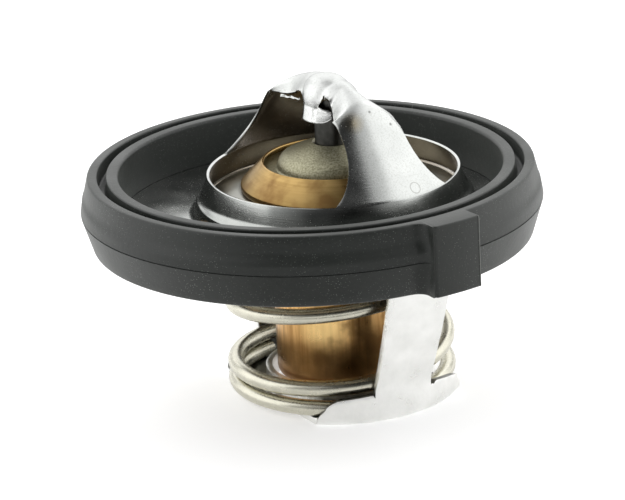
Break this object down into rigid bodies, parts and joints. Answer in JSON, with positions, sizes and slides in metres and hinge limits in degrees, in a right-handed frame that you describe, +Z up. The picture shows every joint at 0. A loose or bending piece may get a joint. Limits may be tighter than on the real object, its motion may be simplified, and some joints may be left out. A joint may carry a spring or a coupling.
{
  "type": "engine thermostat",
  "caption": "Wax-element engine thermostat with a rubber-edged flange, a stamped bridge over the poppet valve, a coil spring and a strap cage, standing on its cage.",
  "frame": {"origin": "centre of the seal ring, at the level of the cage's underside on which the part stands", "axes": "+Z up along the seal's axis, towards the bridge; +X from the seal's centre to the valve's axis, 3.15 mm away; +Y across"},
  "size_m": [0.064, 0.064, 0.0454],
  "materials": {
    "seal_rubber": "matte moulded rubber with fine dust",
    "frame_steel": "satin pressed steel, darker inside",
    "cage_tin": "bright tinned strip",
    "spring_steel": "drawn wire, pale satin",
    "pin_steel": "ground, dark grey",
    "disc_steel": "pressed steel",
    "cup_brass": "drawn brass, brushed and slightly tarnished",
    "wax": "paraffin wax",
    "boot_rubber": "moulded rubber",
    "washer_plastic": "white low-friction plastic",
    "guide_bronze": "turned, aged olive grey",
    "bleed_brass": "turned brass"
  },
  "bodies": {
    "frame": {"seal_ring": "seal_rubber", "upper_frame": "frame_steel", "lower_cage": "cage_tin", "piston_pin": "pin_steel", "main_spring": "spring_steel"},
    "valve": {"valve_disc": "disc_steel", "wax_cup": "cup_brass", "wax_charge": "wax", "rubber_boot": "boot_rubber", "backup_washer": "washer_plastic", "rod_guide": "guide_bronze"},
    "bleeder": {"bleed_pin": "bleed_brass"}
  },
  "joints": [
    {"name": "valve_slide", "type": "slide", "parent": "frame", "child": "valve", "axis": [0, 0, -1], "range_m": [0, 0.008], "stiffness_N_per_m": 3000, "springref_m": -0.004, "deforming": ["main_spring"]},
    {"name": "bleed_slide", "type": "slide", "parent": "frame", "child": "bleeder", "axis": [0, 0, 1], "range_m": [0, 0.001]}
  ]
}
